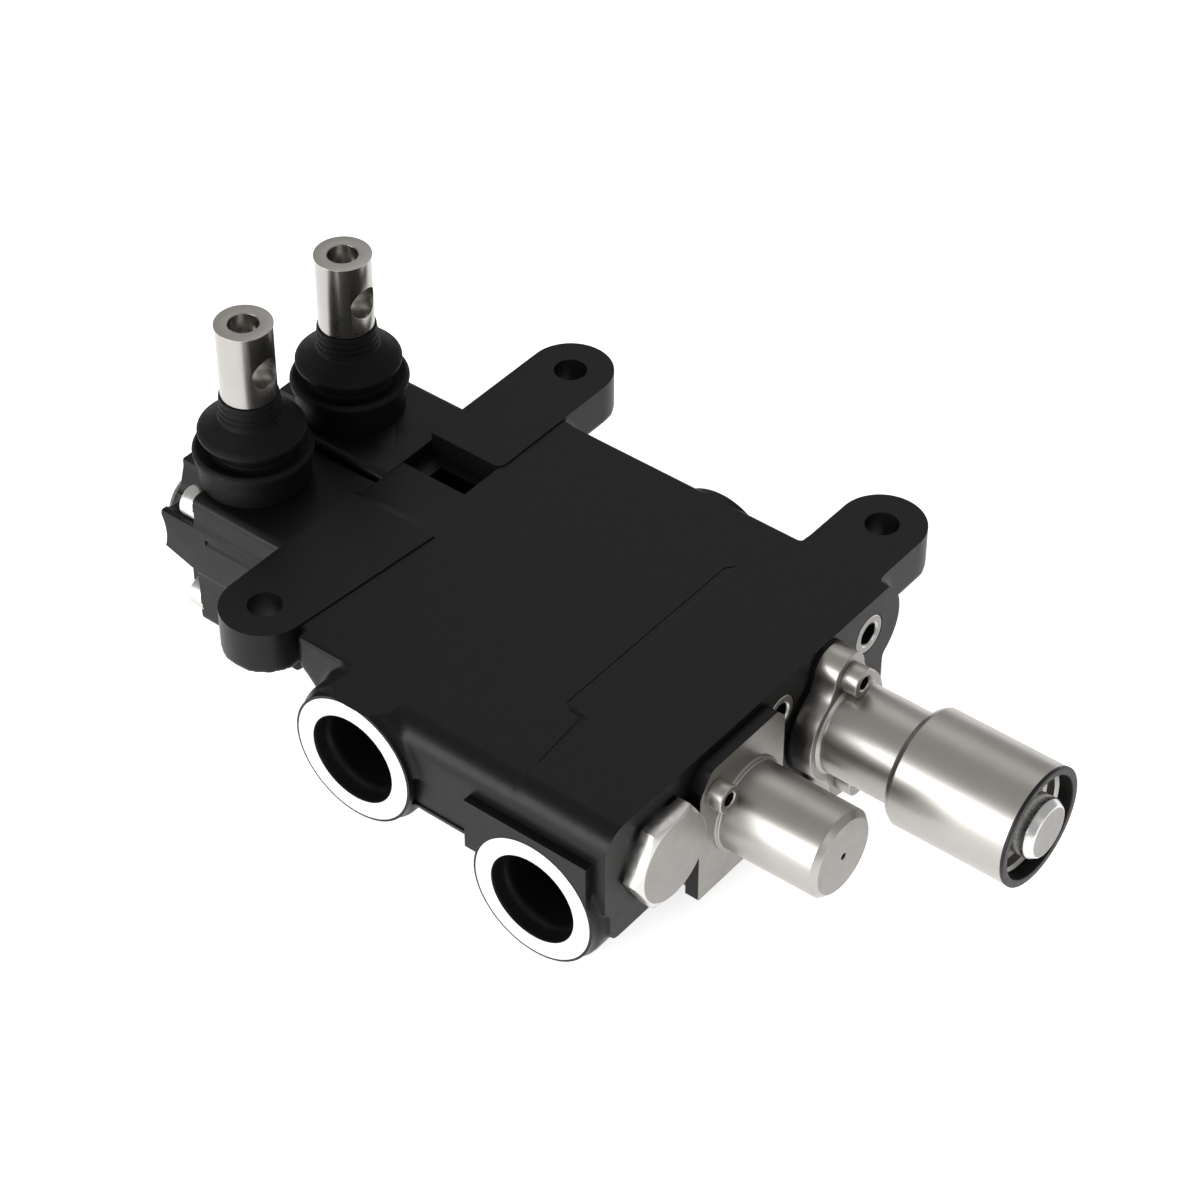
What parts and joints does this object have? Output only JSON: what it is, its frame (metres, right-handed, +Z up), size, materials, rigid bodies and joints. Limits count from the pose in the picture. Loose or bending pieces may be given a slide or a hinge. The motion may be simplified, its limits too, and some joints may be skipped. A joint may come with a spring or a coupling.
{
  "type": "manual hydraulic valve",
  "caption": "Two-spool manual hydraulic control valve: cast body with mounting ears, booted lever stems, spring-centring and detent end caps.",
  "frame": {"origin": "centre of the first mounting-ear hole, on the mounting plane", "axes": "+X along the spools towards the end caps, +Y across the spools, +Z up out of the mounting plane"},
  "size_m": [0.2845, 0.168, 0.1103],
  "materials": {
    "body_paint": "satin",
    "boot_rubber": "matte",
    "stem_steel": "satin",
    "spool_steel": "polished",
    "cap_steel": "satin",
    "screw_steel": "satin",
    "cap_black": "satin",
    "seal_rubber": "matte",
    "spring_steel": "satin",
    "button_chrome": "polished",
    "plug_zinc": "satin"
  },
  "bodies": {
    "valve": {"body": "body_paint", "spool_seals": "seal_rubber", "pivot_pins": "stem_steel", "house_front": "body_paint", "house_rear": "body_paint", "boot_front": "boot_rubber", "boot_rear": "boot_rubber", "house_screws": "screw_steel", "house_caps": "cap_black", "cap_front": "cap_steel", "cap_rear": "cap_steel", "cap_gasket": "seal_rubber", "cap_screws": "screw_steel", "seat_in_front": "screw_steel", "seat_in_rear": "screw_steel", "spring_front": "spring_steel", "spring_rear": "spring_steel", "detent_ring": "cap_steel", "sleeve": "cap_steel", "end_ring": "cap_black", "beyond_plug": "plug_zinc", "plug_seals": "seal_rubber", "flush_plugs": "plug_zinc", "far_plug": "plug_zinc", "check_spring": "spring_steel", "relief_seat": "screw_steel", "relief_spring": "spring_steel"},
    "front_lever": {"lever_front": "stem_steel"},
    "rear_lever": {"lever_rear": "stem_steel"},
    "front_spool": {"spool_front": "spool_steel", "shoulder_bolt": "screw_steel", "seat_out_front": "screw_steel"},
    "rear_spool": {"spool_rear": "spool_steel", "detent_rod": "spool_steel", "seat_out_rear": "screw_steel", "detent_balls": "spool_steel", "button": "button_chrome"},
    "check": {"check_poppet": "spool_steel"},
    "relief": {"relief_poppet": "spool_steel"}
  },
  "joints": [
    {"name": "lever_front", "type": "hinge", "parent": "valve", "child": "front_lever", "pos_m": [-0.044, 0.0436, 0.001], "axis": [0, 1, 0], "range_deg": [-14, 14], "stiffness_Nm_per_rad": 1.2, "deforming": ["boot_front", "spring_front"]},
    {"name": "lever_rear", "type": "hinge", "parent": "valve", "child": "rear_lever", "pos_m": [-0.044, 0.0864, 0.001], "axis": [0, 1, 0], "range_deg": [-20.5, 14], "stiffness_Nm_per_rad": 1.2, "deforming": ["boot_rear", "spring_rear"]},
    {"name": "spool_front", "type": "slide", "parent": "valve", "child": "front_spool", "axis": [-1, 0, 0], "range_m": [-0.007, 0.007]},
    {"name": "spool_rear", "type": "slide", "parent": "valve", "child": "rear_spool", "axis": [-1, 0, 0], "range_m": [-0.01, 0.007]},
    {"name": "check_lift", "type": "slide", "parent": "valve", "child": "check", "axis": [1, 0, 0], "range_m": [0, 0.003], "stiffness_N_per_m": 1500, "springref_m": -0.001, "deforming": ["check_spring"]},
    {"name": "relief_lift", "type": "slide", "parent": "valve", "child": "relief", "axis": [1, 0, 0], "range_m": [0, 0.002], "stiffness_N_per_m": 4000, "springref_m": -0.002, "deforming": ["relief_spring"]}
  ],
  "couplings": [
    {"joint": "spool_front", "follows": "lever_front", "m_per_rad": 0.0277},
    {"joint": "spool_rear", "follows": "lever_rear", "m_per_rad": 0.0277}
  ]
}
